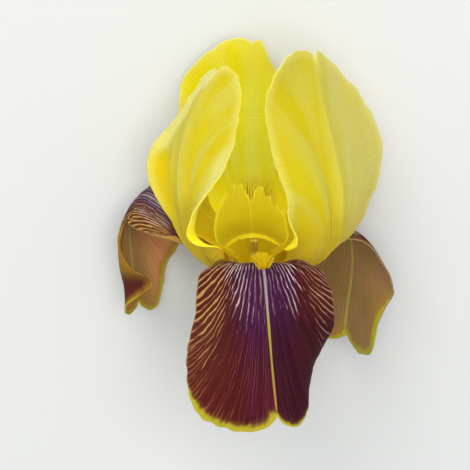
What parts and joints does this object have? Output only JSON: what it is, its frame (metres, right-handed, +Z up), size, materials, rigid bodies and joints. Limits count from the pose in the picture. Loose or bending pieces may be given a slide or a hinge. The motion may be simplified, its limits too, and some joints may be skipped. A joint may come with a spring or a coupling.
{
  "type": "bearded iris flower",
  "caption": "Cut bearded iris bloom lying on a surface, with upright yellow standards, drooping veined maroon falls edged in yellow, a golden beard and a short green stalk.",
  "frame": {"origin": "centre of the bounding box at the surface the flower lies on", "axes": "+Z up from that surface; +Y along the flower's own axis, from the cut stalk towards the tips of the upright petals; +X to the right for someone who looks down on it with the stalk towards them"},
  "size_m": [0.0942, 0.1294, 0.0852],
  "materials": {
    "fall_petal": "soft satin petal, maroon with pale veins inside, buff underside, yellow edge",
    "standard_petal": "soft satin petal, lemon yellow with fine veins",
    "style_flesh": "soft satin, deep yellow",
    "beard_hair": "matte soft hairs",
    "stamen_flesh": "matte",
    "stalk_green": "waxy satin green flesh",
    "spathe_paper": "dry papery green and straw"
  },
  "bodies": {
    "root": {"fall_front": "fall_petal", "fall_right": "fall_petal", "fall_left": "fall_petal", "standard_right": "standard_petal", "standard_left": "standard_petal", "standard_back": "standard_petal", "style": "style_flesh", "stamen_front": "stamen_flesh", "stamen_right": "stamen_flesh", "stamen_left": "stamen_flesh", "beard_front": "beard_hair", "beard_right": "beard_hair", "beard_left": "beard_hair", "stem": "stalk_green", "spathe_outer": "spathe_paper", "spathe_inner": "spathe_paper"}
  },
  "joints": []
}
